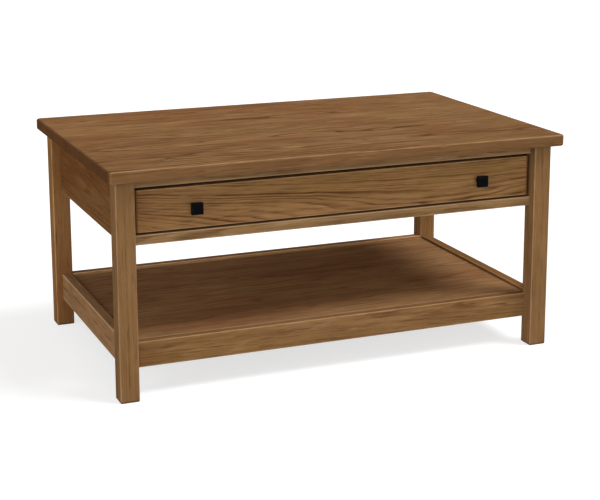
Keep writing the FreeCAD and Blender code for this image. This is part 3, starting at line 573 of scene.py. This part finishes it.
def metal_material(name, colour, dull, roughness, lumps, worn=0.35):
    """Plated metal with duller patches, fine scratches and a slightly uneven skin."""
    scratches = (900, 900, 900)
    material, bench, shader, place = new_material(name)
    patches = bench.step(bench.noise(place, lumps, 3.0, 0.6)[0], 0.35, 0.68)
    grain = bench.noise(place, scratches)[0]
    tint = bench.mix(bench.times(patches, worn), opaque(colour), opaque(dull))
    rough = bench.plus(bench.times(patches, 0.14), bench.swing(grain, 0.2))
    rough = bench.plus(rough, roughness, clamp=True)
    bump = bench.bump(grain, strength=0.15, depth=0.1 * MM)
    bench.fill(shader, {"Base Color": tint, "Roughness": rough, "Normal": bump, "Metallic": 1.0})
    return material


def iron_material(name, finish, centre, half):
    """Black iron with a fine sandy skin, worn a little on the edges of a square head, which are
    also lighter and bluer as a painted highlight.
    """
    sand_lumps, cloud_lumps, rub_and_highlight_width = (1400, 1400, 1400), (160, 160, 160), 1.4 * MM
    material, bench, shader, place = new_material(name)
    middle = {"Vector": place, "Location": centre}
    mapping = bench.add("ShaderNodeMapping", middle, vector_type="TEXTURE")
    sand = bench.noise(place, sand_lumps, 3.0, 0.6)[0]
    cloud = bench.noise(place, cloud_lumps)[0]
    rub_and_highlight = rub_and_highlight_mask(bench, mapping.outputs[0], half, rub_and_highlight_width, cloud)
    # Lighter, bluer head edges: wear and a painted highlight
    tint = bench.mix(bench.times(rub_and_highlight, 0.6), opaque(finish.iron), opaque(finish.iron_rubbed_and_highlight))
    rough = bench.plus(0.46, bench.swing(cloud, 0.3))
    bump = bench.bump(sand, strength=0.3, depth=0.15 * MM)
    bench.fill(shader, {"Base Color": tint, "Roughness": rough, "Normal": bump,
                        "Specular IOR Level": 0.025})
    return material


def new_object(name, data):
    """An object in the scene for a mesh, a lamp or a camera."""
    thing = bpy.data.objects.new(name, data)
    bpy.context.scene.collection.objects.link(thing)
    return thing


def mesh_from(shape, name):
    """A mesh of what a bmesh holds, which is then freed."""
    mesh = bpy.data.meshes.new(name)
    shape.to_mesh(mesh)
    shape.free()
    return mesh


def piece_from(shape, name, body, slot, *replaced):
    """Turns a bmesh into a named piece that rides on a body and stands for its nodes."""
    sharp = math.radians(32)
    bmesh.ops.recalc_face_normals(shape, faces=shape.faces)
    for face in shape.faces:
        face.smooth = True
    mesh = mesh_from(shape, name)
    mesh.set_sharp_from_angle(angle=sharp)
    piece = new_object(name, mesh)
    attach(piece, body)
    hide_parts(*replaced)
    return piece


def verts_in(items):
    return [item for item in items if isinstance(item, bmesh.types.BMVert)]


def edges_in(items):
    return [item for item in items if isinstance(item, bmesh.types.BMEdge)]


def extrude_on(shape, edges):
    """Grows a strip of faces from a row of edges, and gives the new edges and vertices."""
    grown = bmesh.ops.extrude_edge_only(shape, edges=edges)["geom"]
    verts = verts_in(grown)
    return [edge for edge in edges_in(grown) if all(vert in verts for vert in edge.verts)], verts


def add_turning(shape, stations, outline, segments, place):
    """Adds a closed form of rings, one at each station, whose points an outline gives by angle."""
    verts = bmesh.ops.create_circle(shape, cap_ends=False, radius=1, segments=segments)["verts"]
    edges = bottom = list(dict.fromkeys(edge for vert in verts for edge in vert.link_edges))
    for number, station in enumerate(stations):
        if number:
            edges, verts = extrude_on(shape, edges)
        for vert in verts:
            vert.co = outline(math.atan2(vert.co.y, vert.co.x), station)
    for rim in (bottom, edges):
        bmesh.ops.holes_fill(shape, edges=rim, sides=segments)
    made = [vert for vert in shape.verts if not vert.tag]
    bmesh.ops.transform(shape, matrix=place, verts=made)
    for vert in made:
        vert.tag = True


def squarish(angle, station):
    """A point on a ring that is round at power 2 and nearly square at power 30."""
    height, size, power = station
    reach = (abs(math.cos(angle)) ** power + abs(math.sin(angle)) ** power) ** (-1 / power)
    return Vector((size * reach * math.cos(angle), size * reach * math.sin(angle), height))


def knob_stations():
    """Rings of a square knob from the drawer face outwards: height, half width and power."""
    neck, head = 6.0, 11.5
    rings = [
        (0.0, neck, 2), (7.2, neck, 2), (8.2, neck + 0.3, 2.2), (9.6, neck + 1.6, 3),
        (11.3, head - 1.4, 6), (12.6, head - 0.25, 18), (13.0, head, 30), (13.4, head, 30),
        (19.6, head, 30), (20.0, head - 0.1, 30), (20.4, head - 0.4, 30),
        (22.5, head - 2.5, 30), (22.9, head - 3.0, 30), (23.0, head - 3.6, 30),
    ]
    return [(height * MM, size * MM, power) for height, size, power in rings]


def screw_ring(angle, station):
    """A point on a round ring, or on a cross where the station has an arm's half width."""
    height, size, arm = station
    if arm:
        off_arm = abs((angle + math.pi / 4) % (math.pi / 2) - math.pi / 4)
        size = min(size / math.cos(off_arm), arm / max(math.sin(off_arm), 1e-6))
    return Vector((size * math.cos(angle), size * math.sin(angle), height))


def screw_stations(length, head):
    """Rings of a screw from its point to the floor of its cross: height, radius and arm."""
    shank, point = 2.0, 4.0
    rings = [
        (length, 0.3, 0), (length - point, shank, 0), (0.0, shank, 0), (0.0, 3.7, 0),
        (-0.08 * head, 3.8, 0), (-0.4 * head, 3.65, 0), (-0.7 * head, 3.2, 0),
        (-0.9 * head, 2.6, 0), (-head, 1.9, 0), (-head, 1.8, 0.5), (-0.45 * head, 1.1, 0.42),
    ]
    return [(height * MM, size * MM, arm * MM) for height, size, arm in rings]


def screw_rows(xs, ys, z, way, length):
    """The undersides of some screws' heads in millimetres, with their way and their length."""
    return [(Vector((x, y, z)) * MM, way, length) for x in xs for y in ys]


# The screws: body, height of the heads in millimetres, and rows
HEAD, LOW_HEAD = 2.2, 1.2
TOP_XS = (-320, 0, 320)
RUNNER_YS = (-205, -15, 175)
SCREWS = {
    "top_screws": ("frame", HEAD, [
        *screw_rows((-415, 415), (-110, 110), 431, UP, 16),
        *screw_rows(TOP_XS, (231,), 431, UP, 16),
        *screw_rows(TOP_XS, (-239.5,), 416.6, UP, 30.4)]),
    "shelf_screws": ("frame", HEAD, [
        *screw_rows((-422, 422), (-115, 123), 73, UP, 32),
        *screw_rows((-293, 293), (-226, 234), 73, UP, 32)]),
    "runner_outer_screws": ("frame", LOW_HEAD, [
        *screw_rows((-425.8,), RUNNER_YS, 365, -RIGHT, 11.2),
        *screw_rows((425.8,), RUNNER_YS, 365, RIGHT, 11.2)]),
    "runner_inner_screws": ("drawer", LOW_HEAD, [
        *screw_rows((-415.5,), RUNNER_YS, 365, RIGHT, 11.2),
        *screw_rows((415.5,), RUNNER_YS, 365, -RIGHT, 11.2)]),
    "drawer_face_screws": ("drawer", HEAD, screw_rows(
        (-360, -120, 120, 360), (-230.5,), 367.5, FRONT, 26.5)),
    "knob_screws": ("drawer", HEAD, screw_rows(
        (-306, 306), (-230.5,), 367.5, FRONT, 43.5)),
}


def add_ring(shape, radius, segments):
    """A round wire with no point on the axes."""
    turn = Matrix.Rotation(math.pi / segments, 4, "Z")
    return bmesh.ops.create_circle(shape, cap_ends=False, radius=radius, segments=segments,
                                   matrix=turn)["verts"]


def add_slot(shape, x, length, radius):
    """A wire round a slot that runs along X, or round a hole where its length is 0."""
    for vert in add_ring(shape, radius, segments=16):
        vert.co += Vector((x + math.copysign(length / 2, vert.co.x), 0, 0))


def fill_sheet(shape):
    """Fills a flat outline and leaves its slots open."""
    bmesh.ops.triangle_fill(shape, use_beauty=True, edges=shape.edges[:], normal=UP)


def roll_on(shape, edges, centre, axis, degrees):
    """Bends a sheet on from its edges, round an axis, and gives its new edges."""
    verts = list(dict.fromkeys(vert for edge in edges for vert in edge.verts))
    made = bmesh.ops.spin(shape, geom=verts + edges, cent=centre, axis=axis,
                          angle=math.radians(degrees), steps=6)
    return edges_in(made["geom_last"])


def draw_on(shape, edges, step):
    """Carries a sheet straight on from its edges, and gives its new edges."""
    edges, verts = extrude_on(shape, edges)
    bmesh.ops.translate(shape, verts=verts, vec=step)
    return edges


def thicken(shape, steel, seen_from):
    """Gives a bent sheet its thickness, behind the side that a direction sees."""
    bmesh.ops.remove_doubles(shape, verts=shape.verts, dist=0.001 * MM)
    bmesh.ops.recalc_face_normals(shape, faces=shape.faces)
    flat = max(shape.faces, key=lambda face: face.calc_area())
    if flat.normal.dot(seen_from) < 0:
        bmesh.ops.reverse_faces(shape, faces=shape.faces)
    bmesh.ops.solidify(shape, geom=shape.faces[:], thickness=steel)


def make_channel(length, height, reach, slots):
    """A rolled channel: a slotted web in the XY plane, and flanges towards Z with turned lips."""
    steel, bend, lip, lip_turn = 1.2 * MM, 2.2 * MM, 1.6 * MM, 50
    shape = bmesh.new()
    half = height / 2 - bend
    corners = [shape.verts.new((x * length / 2, y * half, 0))
               for x, y in ((-1, -1), (1, -1), (1, 1), (-1, 1))]
    wire = [shape.edges.new((corners[turn], corners[(turn + 1) % 4])) for turn in range(4)]
    for x, long, radius in slots:
        add_slot(shape, x * MM, long * MM, radius * MM)
    fill_sheet(shape)
    flange = reach - bend - lip * math.sin(math.radians(lip_turn))
    for way, edge in ((-1, wire[0]), (1, wire[2])):
        edges = roll_on(shape, [edge], (0, way * half, bend), RIGHT, way * 90)
        edges = draw_on(shape, edges, (0, 0, flange))
        roll_on(shape, edges, (0, way * (height / 2 - lip), bend + flange), RIGHT, way * lip_turn)
    thicken(shape, steel, -UP)
    return shape


# The runner members: body, whether their web lies towards the drawer, and the slots along the
# web with their place, length and radius in millimetres
SCREW_HOLES = [(-190, 0, 2.1), (0, 0, 2.1), (190, 0, 2.1)]
RUNNERS = {
    "outer": ("frame", False, [
        *SCREW_HOLES, (-95, 26, 3.2), (95, 26, 3.2), (-150, 0, 2.6), (150, 0, 2.6),
        (-45, 0, 2.6), (45, 0, 2.6)]),
    "middle": ("middle_member", False, [
        (-170, 24, 4), (-60, 24, 4), (60, 24, 4), (170, 24, 4)]),
    "inner": ("drawer", True, [
        *SCREW_HOLES, (-110, 18, 2.6), (110, 18, 2.6), (-55, 0, 2.6), (55, 0, 2.6)]),
}


def make_clip():
    """A stepped clip: a round flange under the top, a riser on an apron at X 0, and a tongue."""
    steel, wide, drop, flange, tongue = 2 * MM, 16 * MM, 11 * MM, 22 * MM, 6 * MM
    bend, tuck = 2.6 * MM, 0.6 * MM
    slot_length, slot_radius, slot_back = 6.5 * MM, 2.3 * MM, 0.3 * MM
    shape = bmesh.new()
    rim = add_ring(shape, wide / 2, segments=24)
    root = [vert for vert in rim if vert.co.x < 0]
    for vert in rim:
        vert.co.x = bend if vert in root else vert.co.x + flange - wide / 2
    fold = [edge for edge in shape.edges if all(vert in root for vert in edge.verts)]
    add_slot(shape, bend + (flange - bend) / 2 - slot_back, slot_length, slot_radius)
    fill_sheet(shape)
    bmesh.ops.translate(shape, verts=shape.verts, vec=(0, 0, drop))
    edges = roll_on(shape, fold, (bend, 0, drop - bend), AXES["Y"], -90)
    edges = draw_on(shape, edges, (0, 0, bend + steel + tuck - drop))
    edges = roll_on(shape, edges, (-tuck, 0, steel + tuck), AXES["Y"], 90)
    draw_on(shape, edges, (tuck - tongue, 0, 0))
    thicken(shape, steel, UP)
    return shape


# The clips' places on the aprons in millimetres, and their turn in degrees
CLIPS = [(-427, -110, 0), (-427, 110, 0), (427, -110, 180), (427, 110, 180),
         (-320, 243, -90), (0, 243, -90), (320, 243, -90)]


def repeat(shape, places):
    """Puts what a bmesh holds at each of the places."""
    first = shape.verts[:] + shape.edges[:] + shape.faces[:]
    for place in places[1:]:
        copied = bmesh.ops.duplicate(shape, geom=first)["geom"]
        bmesh.ops.transform(shape, matrix=place, verts=verts_in(copied))
    bmesh.ops.transform(shape, matrix=places[0], verts=verts_in(first))


class TABLE_OT_top(bpy.types.Operator):
    """Finish the table top in stained oak"""
    bl_idname = "coffee_table.top"
    bl_label = "Table Top"

    def execute(self, context):
        finish_oak(context, "table_top")
        return {"FINISHED"}


class TABLE_OT_legs(bpy.types.Operator):
    """Finish the four legs in stained oak"""
    bl_idname = "coffee_table.legs"
    bl_label = "Legs"

    def execute(self, context):
        finish_oak(context, "leg_")
        return {"FINISHED"}


class TABLE_OT_aprons(bpy.types.Operator):
    """Finish the aprons and the rails over and under the drawer in stained oak"""
    bl_idname = "coffee_table.aprons"
    bl_label = "Aprons"

    def execute(self, context):
        finish_oak(context, "side_apron_", "rear_apron", "front_top_rail", "drawer_rail")
        return {"FINISHED"}


class TABLE_OT_shelf(bpy.types.Operator):
    """Finish the shelf, its rails and its cleats in stained oak"""
    bl_idname = "coffee_table.shelf"
    bl_label = "Shelf"

    def execute(self, context):
        finish_oak(context, "shelf_")
        return {"FINISHED"}


class TABLE_OT_drawer_face(bpy.types.Operator):
    """Finish the drawer's face in stained oak"""
    bl_idname = "coffee_table.drawer_face"
    bl_label = "Drawer Face"

    def execute(self, context):
        finish_oak(context, "drawer_face")
        return {"FINISHED"}


class TABLE_OT_drawer_box(bpy.types.Operator):
    """Finish the dovetailed drawer box in pale wood, and its bottom in plywood"""
    bl_idname = "coffee_table.drawer_box"
    bl_label = "Drawer Box"

    def execute(self, context):
        box, oak = context.scene.box_finish, context.scene.oak_finish

        def two_tones(name, wood, line, **shares):
            colours = (wood, line, line, line, wood, wood)
            return make_wood_group(name, colours, oak.rub_and_highlight_width, oak.roughness, **shares)

        pale = two_tones("pale_wood", box.pale_wood, box.line_wood,
                         pore_share=0.3, line_share=0.6, end_share=0.4)
        veneer = two_tones("veneer", box.veneer, box.veneer_line,
                           pore_share=0.2, line_share=0.7, end_share=0.4)
        finish_boards(BOX_BOARDS, pale, "box_wood", oak.gloss)
        finish_boards(PLY_BOARDS, veneer, "plywood", oak.gloss)
        return {"FINISHED"}


class TABLE_OT_knobs(bpy.types.Operator):
    """Model the two square black iron knobs"""
    bl_idname = "coffee_table.knobs"
    bl_label = "Knobs"

    def execute(self, context):
        finish = context.scene.metal_finish
        rub_and_highlight_depth, rub_and_highlight_middle, segments = 8 * MM, 6 * MM, 64
        for side in SIDES:
            node = f"knob_{side}"
            low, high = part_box(node)
            middle = (low + high) / 2
            base = Vector((middle.x, high.y, middle.z))
            place = Matrix.Translation(base) @ Matrix.Rotation(math.radians(90), 4, "X")
            shape = bmesh.new()
            add_turning(shape, knob_stations(), squarish, segments, place)
            knob = piece_from(shape, f"square_knob_{side}", "drawer", "black_iron", node)
            # The band round the head's edges that gets wear and a painted highlight
            head = Vector((high.x - low.x, rub_and_highlight_depth, high.z - low.z)) / 2
            centre = Vector((middle.x, low.y + rub_and_highlight_middle, middle.z))
            wear(knob, iron_material(f"black_iron_{side}", finish, centre, head))
        return {"FINISHED"}


class TABLE_OT_runners(bpy.types.Operator):
    """Model the rolled and slotted members of the two drawer runners"""
    bl_idname = "coffee_table.runners"
    bl_label = "Runners"

    def execute(self, context):
        finish = context.scene.metal_finish
        zinc = metal_material("zinc_plate", finish.zinc, finish.zinc_dull, roughness=0.34,
                              lumps=(40, 12, 40))
        for member, (body, web_to_drawer, slots) in RUNNERS.items():
            for side in SIDES:
                node = f"runner_{member}_{side}"
                low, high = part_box(node)
                size, middle = high - low, (low + high) / 2
                web_at_right = web_to_drawer == (side == "left")
                base = Vector((high.x if web_at_right else low.x, middle.y, middle.z))
                flanges = -RIGHT if web_at_right else RIGHT
                turn = Matrix((AXES["Y"], UP, flanges)).transposed().to_4x4()
                place = Matrix.Translation(base) @ turn
                shape = make_channel(size.y, size.z, size.x, slots)
                bmesh.ops.transform(shape, matrix=place, verts=shape.verts)
                ridden = f"{body}_{side}" if body == "middle_member" else body
                wear(piece_from(shape, f"rolled_{node}", ridden, "zinc_steel", node), zinc)
        return {"FINISHED"}


class TABLE_OT_ball_cages(bpy.types.Operator):
    """Finish the runners' balls and cages in bright steel"""
    bl_idname = "coffee_table.ball_cages"
    bl_label = "Ball Cages"

    def execute(self, context):
        finish = context.scene.metal_finish
        steel = metal_material("bright_steel", finish.bright_steel, finish.zinc_dull,
                               roughness=0.22, lumps=(120, 120, 120), worn=0.2)
        for row in ("outer", "inner"):
            for side in SIDES:
                wear(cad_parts[f"ball_cage_{row}_{side}"], steel)
        return {"FINISHED"}


class TABLE_OT_clips(bpy.types.Operator):
    """Model the stepped clips that hold the top to the aprons"""
    bl_idname = "coffee_table.clips"
    bl_label = "Top Clips"

    def execute(self, context):
        finish = context.scene.metal_finish
        plate = metal_material("clip_plate", finish.zinc, finish.zinc_dull, roughness=0.4,
                               lumps=(90, 90, 90))
        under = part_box("top_clips")[0].z
        shape = make_clip()
        repeat(shape, [Matrix.Translation((x * MM, y * MM, under))
                       @ Matrix.Rotation(math.radians(turn), 4, "Z") for x, y, turn in CLIPS])
        wear(piece_from(shape, "stepped_top_clips", "frame", "zinc_steel", "top_clips"), plate)
        return {"FINISHED"}


class TABLE_OT_screws(bpy.types.Operator):
    """Model the domed cross head screws"""
    bl_idname = "coffee_table.screws"
    bl_label = "Screws"

    def execute(self, context):
        finish = context.scene.metal_finish
        plate = metal_material("screw_plate", finish.screw, finish.zinc_dull, roughness=0.36,
                               lumps=(200, 200, 200))
        turn_step, segments = 37, 48
        for node, (body, head, rows) in SCREWS.items():
            shape = bmesh.new()
            for number, (place, way, length) in enumerate(rows):
                turn = Matrix.Rotation(math.radians(turn_step * number), 4, "Z")
                aim = way.to_track_quat("Z", "Y").to_matrix().to_4x4()
                stand = Matrix.Translation(place) @ aim @ turn
                add_turning(shape, screw_stations(length, head), screw_ring, segments, stand)
            wear(piece_from(shape, f"cross_head_{node}", body, "screw_steel", node), plate)
        return {"FINISHED"}


def seen_directly(bench):
    """1 for what the camera, a reflection or glass sees of a surface, 0 for the light it casts."""
    rays = bench.add("ShaderNodeLightPath").outputs
    return bench.math("MAXIMUM", rays["Is Camera Ray"],
                      bench.math("MAXIMUM", rays["Is Glossy Ray"], rays["Is Transmission Ray"]))


def make_world(studio):
    """White to look at, and an even, weaker light on the table."""
    world = bpy.data.worlds.new("studio")
    world.use_nodes = True
    bpy.context.scene.world = world
    bench = NodeBench(world.node_tree)
    levels = {0: seen_directly(bench), 2: studio.surround, 3: 1.0}
    level = bench.add("ShaderNodeMix", levels, data_type="FLOAT").outputs[0]
    bench.fill(world.node_tree.nodes["Background"], {"Color": (1, 1, 1, 1), "Strength": level})


def make_floor(studio):
    """A plain white floor that keeps the table's soft shadow."""
    shape = bmesh.new()
    bmesh.ops.create_grid(shape, x_segments=1, y_segments=1, size=studio.floor_size / 2)
    floor = new_object("floor", mesh_from(shape, "floor"))
    material = bpy.data.materials.new("white_floor")
    material.use_nodes = True
    bench = NodeBench(material.node_tree)
    nodes = material.node_tree.nodes
    nodes.remove(nodes["Principled BSDF"])
    grey = opaque([studio.floor_shade] * 3)
    shade = bench.add("ShaderNodeBsdfDiffuse", {"Color": grey}).outputs[0]
    white = bench.add("ShaderNodeEmission", {"Strength": studio.floor_white}).outputs[0]
    both = bench.add("ShaderNodeAddShader", {0: shade, 1: white}).outputs[0]
    look = bench.add("ShaderNodeMixShader", {0: seen_directly(bench), 1: shade, 2: both})
    bench.fill(nodes["Material Output"], {"Surface": look.outputs[0]})
    wear(floor, material)


# The lamps: azimuth, elevation and spread in degrees
LAMPS = {"overhead": (30, 80, 120), "key": (60, 56, 28), "front": (-10, 10, 36),
         "side": (-72, 18, 40)}


def towards(turn, rise):
    """A direction: to the front at turn 0, to the right at a quarter turn, and up by rise."""
    return Vector((math.sin(turn) * math.cos(rise), -math.cos(turn) * math.cos(rise),
                   math.sin(rise)))


def make_lamp(name, strength, azimuth, elevation, spread):
    """A soft distant lamp."""
    lamp = bpy.data.lights.new(name, "SUN")
    lamp.energy = strength
    lamp.angle = math.radians(spread)
    from_table = towards(math.radians(azimuth), math.radians(elevation))
    stand = new_object(name, lamp)
    stand.rotation_mode = "QUATERNION"
    stand.rotation_quaternion = from_table.to_track_quat("Z", "Y")


def make_camera(studio):
    """The camera at the photograph's viewpoint."""
    lens = bpy.data.cameras.new("camera")
    lens.sensor_fit = "HORIZONTAL"
    lens.sensor_width = studio.sensor / MM
    lens.lens = studio.focal_pixels / PHOTO_WIDTH * lens.sensor_width
    lens.shift_x = (PHOTO_WIDTH / 2 - studio.centre_pixel[0]) / PHOTO_WIDTH
    lens.shift_y = (studio.centre_pixel[1] - PHOTO_HEIGHT / 2) / PHOTO_WIDTH
    camera = bpy.context.scene.camera = new_object("camera", lens)
    back = towards(studio.yaw, -studio.pitch)
    right = UP.cross(back).normalized()
    level = Matrix((right, back.cross(right), back)).transposed().to_4x4()
    camera.matrix_world = (Matrix.Translation(studio.camera_place) @ level
                           @ Matrix.Rotation(studio.roll, 4, "Z"))


class TABLE_OT_stage(bpy.types.Operator):
    """Set up the floor, the light and the camera"""
    bl_idname = "coffee_table.stage"
    bl_label = "Stage"

    def execute(self, context):
        studio = context.scene.studio
        context.scene.view_settings.view_transform = "Standard"
        make_world(studio)
        make_floor(studio)
        for name, stand in LAMPS.items():
            make_lamp(name, getattr(studio, name), *stand)
        make_camera(studio)
        return {"FINISHED"}


class TABLE_PT_sidebar(bpy.types.Panel):
    """The coffee table's finishes and pieces"""
    bl_idname = "TABLE_PT_sidebar"
    bl_label = "Coffee Table"
    bl_space_type = "VIEW_3D"
    bl_region_type = "UI"
    bl_category = "Coffee Table"

    def draw(self, context):
        for operator in OPERATORS:
            self.layout.operator(operator.bl_idname)
        for name, group in GROUPS.items():
            box = self.layout.box()
            box.label(text=group.__doc__)
            for setting in group.__annotations__:
                box.prop(getattr(context.scene, name), setting)


GROUPS = {"oak_finish": OakFinish, "box_finish": BoxFinish, "metal_finish": MetalFinish,
          "studio": Studio}
OPERATORS = (TABLE_OT_top, TABLE_OT_legs, TABLE_OT_aprons, TABLE_OT_shelf, TABLE_OT_drawer_face,
             TABLE_OT_drawer_box, TABLE_OT_knobs, TABLE_OT_runners, TABLE_OT_ball_cages,
             TABLE_OT_clips, TABLE_OT_screws, TABLE_OT_stage)
CLASSES = (*GROUPS.values(), *OPERATORS, TABLE_PT_sidebar)


def register():
    for kind in CLASSES:
        bpy.utils.register_class(kind)
    for name, group in GROUPS.items():
        setattr(bpy.types.Scene, name, bpy.props.PointerProperty(type=group))


def unregister():
    for name in GROUPS:
        delattr(bpy.types.Scene, name)
    for kind in reversed(CLASSES):
        bpy.utils.unregister_class(kind)


def main():
    register()
    bpy.ops.coffee_table.top()
    bpy.ops.coffee_table.legs()
    bpy.ops.coffee_table.aprons()
    bpy.ops.coffee_table.shelf()
    bpy.ops.coffee_table.drawer_face()
    bpy.ops.coffee_table.drawer_box()
    bpy.ops.coffee_table.knobs()
    bpy.ops.coffee_table.runners()
    bpy.ops.coffee_table.ball_cages()
    bpy.ops.coffee_table.clips()
    bpy.ops.coffee_table.screws()
    bpy.ops.coffee_table.stage()


if __name__ == "__main__":
    main()
